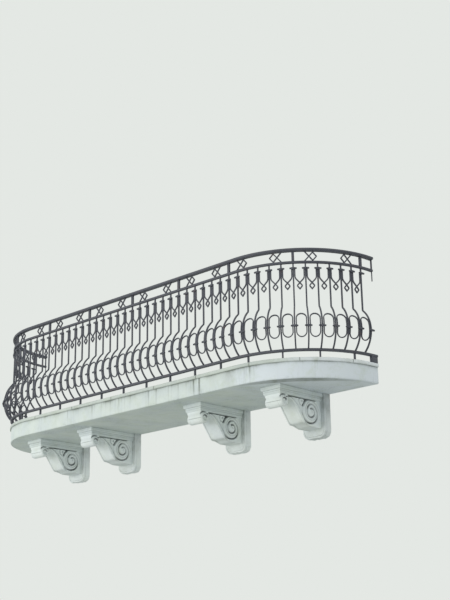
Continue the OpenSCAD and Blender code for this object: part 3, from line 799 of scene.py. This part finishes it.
posts = [placed(block((-12, -10, UPPER_TOP), (12, 10, HAND_BOTTOM)), stations[i])
         for i in [*range(0, LAST, BAY), LAST]]
frieze_posts = build("frieze_posts_forged", posts, rail_paint)
fix(frieze_posts, "frieze_posts")


# Fifty-one balusters of square bar stand between the rails. Each runs straight down to a kink, bows out
# in one round belly, and comes back to the bottom rail, where a bead of weld holds it.

# Radius of the belly, its centre's place out from the bars' line and its height, and the bar's side
BELLY_R = 248
BOW_OUT = -154
BOW_Z = FLOOR_Z + 76 + math.sqrt(BELLY_R ** 2 - BOW_OUT ** 2)
BAR = 12

# The same oil paint, thinner on the bars: darker, with less dust
bar_paint = painted_iron("old charcoal paint on forged bars", ("#43454f", "#50535d"), 0.25)


def belly(z):
    """How far the belly's middle line stands out from the bars' line at height z."""
    return BOW_OUT + math.sqrt(BELLY_R ** 2 - (z - BOW_Z) ** 2)


def baluster_path():
    """Side view of a bar's middle line from the bottom rail to the upper one: outward offset and height."""
    reach = math.acos(-BOW_OUT / BELLY_R)
    bow = [(BOW_OUT + BELLY_R * math.cos(t), BOW_Z + BELLY_R * math.sin(t))
           for t in np.linspace(-reach, reach - 0.05, 34)]
    kink_z = BOW_Z + BELLY_R * math.sin(reach)
    kink = [(5.6, kink_z - 4.6), (2.4, kink_z + 0.2), (0.6, kink_z + 5), (0, kink_z + 11)]
    return bow + kink + [(0, z) for z in np.linspace(kink_z + 30, UPPER_LOW, 5)]


profile = np.array([(0, o, z) for o, z in baluster_path()])
square_bar = bar_section(BAR + 1, BAR + 1, 1.8)


def weld(s, height, size):
    """A thin uneven bead of weld round the foot or head of a bar."""
    corner = size / 2 + 0.6
    ring = along_rounded([(-corner, -corner), (corner, -corner), (corner, corner), (-corner, corner)], 2, 5)
    path = np.column_stack([ring, np.full(len(ring), height)])
    bead = [(1.5 * math.cos(t), 1.5 * math.sin(t)) for t in np.linspace(0, 2 * math.pi, 7)[:-1]]
    return placed(sweep(path, (0, 0, 1.0), bead, closed=True), s)


for bay in range(1, 10):
    members = range((bay - 1) * BAY, LAST + 1 if bay == 9 else bay * BAY)
    bars = []
    for i in members:
        origin, right, outward = station_frame(stations[i])
        bars.append(sweep(set_in(profile, origin, right, outward), right, square_bar))
        bars.append(weld(stations[i], BOTTOM_TOP + 0.5, BAR))
        bars.append(weld(stations[i], UPPER_LOW - 0.5, BAR))
    balusters = build(f"balusters_bay_{bay}_forged", bars, bar_paint, crease=40)
    fix(balusters, f"balusters_bay_{bay}")


# Long rings of flat bar fill the belly between the balusters, each bent to the same bow. Looped ribbons
# hang from the bars' heads: two legs that turn in, cross, and close in a small square eye.

# The same oil paint on the bent flat bars, faded a touch lighter than on the square ones
ornament_paint = painted_iron("old charcoal paint on bent flat bars", ("#454750", "#52555f"), 0.25)
RING_W, RING_H, RING_STRIP = PITCH - BAR - 0.5, 217, 9
# In the two curves a ring stands this far out from the line between its bars
LIFT = 0.45


def gap_frame(i):
    """Middle of the gap after baluster i, the directions right and outward, and the gap's width."""
    right_bar, left_bar = station_frame(stations[i])[0], station_frame(stations[i + 1])[0]
    width = np.linalg.norm(right_bar - left_bar)
    right = (right_bar - left_bar) / width
    outward = np.array([right[1], -right[0], 0])
    curved = turn(stations[i]) != turn(stations[i + 1])
    return (right_bar + left_bar) / 2 + outward * LIFT * curved, right, outward, width


def in_gap(local, i):
    """Points given as right, outward and up, moved to the middle of the gap after baluster i."""
    return set_in(local, *gap_frame(i)[:3])


def softened(corners, radii, steps=4):
    """Open line through the corners, each inner corner turned into a short curve."""
    corners = [np.array(c, float) for c in corners]
    line = [corners[0]]
    for k in range(1, len(corners) - 1):
        back, on = corners[k - 1] - corners[k], corners[k + 1] - corners[k]
        reach = min(radii[k - 1], np.linalg.norm(back) * 0.45, np.linalg.norm(on) * 0.45)
        start = corners[k] + back / np.linalg.norm(back) * reach
        stop = corners[k] + on / np.linalg.norm(on) * reach
        line += bend(start, corners[k], stop, np.linspace(0, 1, steps + 1))
    return np.array(line + [corners[-1]])


ring_r = (RING_W - RING_STRIP) / 2
ring_straight = (RING_H - RING_W) / 2
arc = np.linspace(0, math.pi, 19)
upper_half = [(ring_r * math.cos(t), ring_straight + ring_r * math.sin(t)) for t in arc]
side_down = [(-ring_r, h) for h in np.linspace(ring_straight, -ring_straight, 8)[1:-1]]
half_ring = upper_half + side_down
ring_line = np.array(half_ring + [(-a, -b) for a, b in half_ring])
ring_local = np.array([(a, belly(BOW_Z + b), BOW_Z + b) for a, b in ring_line])
ring_out = np.array([(0, belly(BOW_Z + b) - BOW_OUT, b) for _, b in ring_line]) / BELLY_R
ring_section = bar_section(RING_STRIP + 0.8, BAR - 0.6, 1.7)
# The gaps of the right-hand curve, of the straight front and of the left-hand curve
TURN_1, TURN_2 = 2 * BAY, LAST - 2 * BAY
GAPS = {"right": range(0, TURN_1), "front": range(TURN_1, TURN_2), "left": range(TURN_2, LAST)}

for side, gaps in GAPS.items():
    bars = []
    for i in gaps:
        outward = gap_frame(i)[2]
        facing = ring_out[:, 1:2] * outward + ring_out[:, 2:] * (0, 0, 1.0)
        bars.append(sweep(in_gap(ring_local, i), facing, ring_section, closed=True))
    rings = build(f"rings_{side}_bent", bars, ornament_paint, crease=40)
    fix(rings, f"rings_{side}")

# Heights above the floor of the top clasps, of the place where the legs turn in, and of the crossing
TOP_CLASP_Z, TURN_IN_Z, CROSS_Z = 814, 725, 682
# Height and half width of the eye
EYE_H, EYE_HALF = 58, 23.5
# How far the legs end above the clasps' middle, their distance from the bars' lines, and the ribbon's width
LEG_END, LEG_OFF, RIBBON = 7.5, 13.4, 11.6
for side, gaps in GAPS.items():
    bars = []
    for i in gaps:
        _, _, outward, width = gap_frame(i)
        for s, depth in ((-1, BAR), (1, BAR - 0.7)):
            leg = width / 2 - LEG_OFF
            corners = [(s * leg, TOP_CLASP_Z + LEG_END), (s * leg, TURN_IN_Z), (0, CROSS_Z),
                       (-s * EYE_HALF, CROSS_Z - EYE_H / 2), (0, CROSS_Z - EYE_H),
                       (s * 3, CROSS_Z - EYE_H - 3)]
            line = softened(corners, (20, 6, 9, 1), 5)
            path = np.array([(a, 0, FLOOR_Z + b) for a, b in line])
            bars.append(sweep(in_gap(path, i), outward, bar_section(RIBBON, depth, 1.8)))
    ribbons = build(f"ribbons_{side}_bent", bars, ornament_paint, crease=40)
    fix(ribbons, f"ribbons_{side}")


# In the frieze, beside each post, a flat bar is folded into a square loop with two tails that reach the
# rails. Its two halves lie over each other at the crossing.

frieze_mid = (UPPER_TOP + HAND_BOTTOM) / 2
half_frieze = (HAND_BOTTOM - UPPER_TOP) / 2
# Half height of the square loop, and how far a tail runs aside for each millimetre that it rises
loop_h = half_frieze - 8
slant = 34 / loop_h
knots = []
for start in range(0, LAST - BAY + 1, BAY):
    for gap, mirrored in ((start + 1, -1), (start + BAY - 2, 1)):
        outward = gap_frame(gap)[2]
        for s, depth in ((1, BAR), (-1, BAR - 0.7)):
            corners = [(-20 - half_frieze * slant, s * half_frieze), (14, -s * loop_h), (48, 0),
                       (44, s * 4.5)]
            line = softened(corners, (5, 3), 4)
            path = np.array([(mirrored * a, 0, frieze_mid + b) for a, b in line])
            knots.append(sweep(in_gap(path, gap), outward, bar_section(11, depth, 1.7)))
frieze_knots = build("frieze_knots_folded", knots, ornament_paint, crease=40)
fix(frieze_knots, "frieze_knots")


# Small cast clasps are riveted over every bar, one on the belly and one at the ribbons' heads. Each is a
# short block with a turned knob at either end.

# Half length, depth and height of the block, and the height of the lower row above the floor
CLASP_W, CLASP_D, CLASP_TALL = 18.6, 11, 19
BELLY_CLASP_Z = 258
# The block along its length: how far its sides are set in, and where
CLASP_STEPS = ((2.2, -CLASP_W), (0.6, -CLASP_W + 0.8), (0, -CLASP_W + 2.4), (0, -7), (-0.8, -6), (-0.8, 6),
               (0, 7), (0, CLASP_W - 2.4), (0.6, CLASP_W - 0.8), (2.2, CLASP_W))
# The turned knob: its radius, and the distance from the clasp's middle
KNOB = [(0.1, 15), (6.4, 15), (6.4, 18.9), (7.6, 19.6), (7.0, 20.6), (8.2, 22.2), (8.8, 24.4), (8.6, 26.6),
        (7.6, 28.8), (6.0, 30.8), (4.6, 32.2), (3.0, 33.4), (0.6, 34.0)]
KNOB_SIDES = 14


def clasp(out, height):
    """Local solids of one clasp: its block and its two knobs."""
    loops = []
    for inset, x in CLASP_STEPS:
        section = np.array(bar_section(CLASP_D - 2 * inset, CLASP_TALL - 2 * inset, 2.2))
        loops.append(np.column_stack([np.full(len(section), x), section + (out, height)]))
    solids = [loft(loops)]
    around = np.linspace(0, 2 * math.pi, KNOB_SIDES + 1)[:-1]
    for s in (-1, 1):
        knob = [np.column_stack([np.full(KNOB_SIDES, s * x), out + r * np.cos(around),
                                 height + r * np.sin(around)]) for r, x in KNOB]
        solids.append(loft(knob))
    return solids


on_belly = belly(FLOOR_Z + BELLY_CLASP_Z) + 0.3
for name, out, height in (("belly_clasps", on_belly + BAR / 2 + CLASP_D / 2, FLOOR_Z + BELLY_CLASP_Z),
                          ("top_clasps", BAR / 2 + CLASP_D / 2, FLOOR_Z + TOP_CLASP_Z)):
    parts = [placed(solid, s) for s in stations for solid in clasp(out, height)]
    clasps = build(f"{name}_cast", parts, ornament_paint, crease=40)
    fix(clasps, name)


# The stage: a pale floor far below, the soft light of an open sky with a broad lamp from the front left,
# and a camera that looks up at the right-hand end.

# Height of the floor and half the length of its sides
GROUND_Z = -4100
GROUND_HALF = 40000
floor_mesh = bpy.data.meshes.new("studio_floor")
corners = [(-1, -1), (1, -1), (1, 1), (-1, 1)]
floor_mesh.from_pydata([(a * GROUND_HALF * MM, b * GROUND_HALF * MM, GROUND_Z * MM) for a, b in corners], [],
                       [(0, 1, 2, 3)])
studio_floor = bpy.data.objects.new("studio_floor", floor_mesh)
bpy.context.scene.collection.objects.link(studio_floor)
pale = bpy.data.materials.new("pale studio floor")
pale.use_nodes = True
fill(pale.node_tree.nodes["Principled BSDF"], {"Base Color": linear("#bcbfbb"), "Roughness": 0.9})
floor_mesh.materials.append(pale)

SKY_LEVEL = 0.9
sky = bpy.data.worlds.new("open sky")
bpy.context.scene.world = sky
sky.use_nodes = True
lit = sky.node_tree.nodes["Background"]
fill(lit, {"Color": linear("#f7faf9"), "Strength": SKY_LEVEL})
seen = node(sky, "Background", {"Color": linear("#e4e8e4"), "Strength": 1.0})
ray = node(sky, "LightPath")
some = node(sky, "Math", {0: ray.outputs["Is Camera Ray"], 1: ray.outputs["Is Glossy Ray"]}, operation="ADD")
any_ray = node(sky, "Math", {0: some.outputs[0], 1: ray.outputs["Is Transmission Ray"]}, operation="ADD",
               use_clamp=True)
either = node(sky, "MixShader", {0: any_ray.outputs[0], 1: lit.outputs[0], 2: seen.outputs[0]})
fill(sky.node_tree.nodes["World Output"], {"Surface": either.outputs[0]})

# Where the lamp stands and which way it shines, in metres
LAMP_AT = (-4.0, -12.6, -0.4)
LAMP_AIM = Vector((4.0, 12.1, 0.4))
lamp = bpy.data.lights.new("broad soft lamp", "AREA")
lamp.shape = "RECTANGLE"
lamp.size, lamp.size_y = 12, 6
lamp.energy = 640
lamp.color = linear("#fcfbf8")[:3]
broad_lamp = bpy.data.objects.new("broad soft lamp", lamp)
broad_lamp.location = LAMP_AT
broad_lamp.rotation_euler = LAMP_AIM.to_track_quat("-Z", "Y").to_euler()
bpy.context.scene.collection.objects.link(broad_lamp)

# The camera's place in metres, its direction, and its focal length in pixels of a frame 600 pixels high
CAMERA_AT = (8.280, -8.082, -2.412)
AZIMUTH, ELEVATION, ROLL_ANGLE = math.radians(43.715), math.radians(17.584), math.radians(-0.9136)
FOCAL_PX, FRAME_PX = 1148.83, 600
SENSOR = 36
towards = Vector((-math.sin(AZIMUTH) * math.cos(ELEVATION), math.cos(AZIMUTH) * math.cos(ELEVATION),
                  math.sin(ELEVATION)))
level = Vector((math.cos(AZIMUTH), math.sin(AZIMUTH), 0))
above = level.cross(towards)
across = level * math.cos(ROLL_ANGLE) + above * math.sin(ROLL_ANGLE)
upright = above * math.cos(ROLL_ANGLE) - level * math.sin(ROLL_ANGLE)
lens = bpy.data.cameras.new("street camera")
lens.sensor_width = SENSOR
lens.lens = FOCAL_PX * SENSOR / FRAME_PX
camera = bpy.data.objects.new("street camera", lens)
camera.matrix_world = Matrix((
    (across.x, upright.x, -towards.x, CAMERA_AT[0]),
    (across.y, upright.y, -towards.y, CAMERA_AT[1]),
    (across.z, upright.z, -towards.z, CAMERA_AT[2]),
    (0, 0, 0, 1),
))
bpy.context.scene.collection.objects.link(camera)
bpy.context.scene.camera = camera
bpy.context.scene.view_settings.view_transform = "Standard"
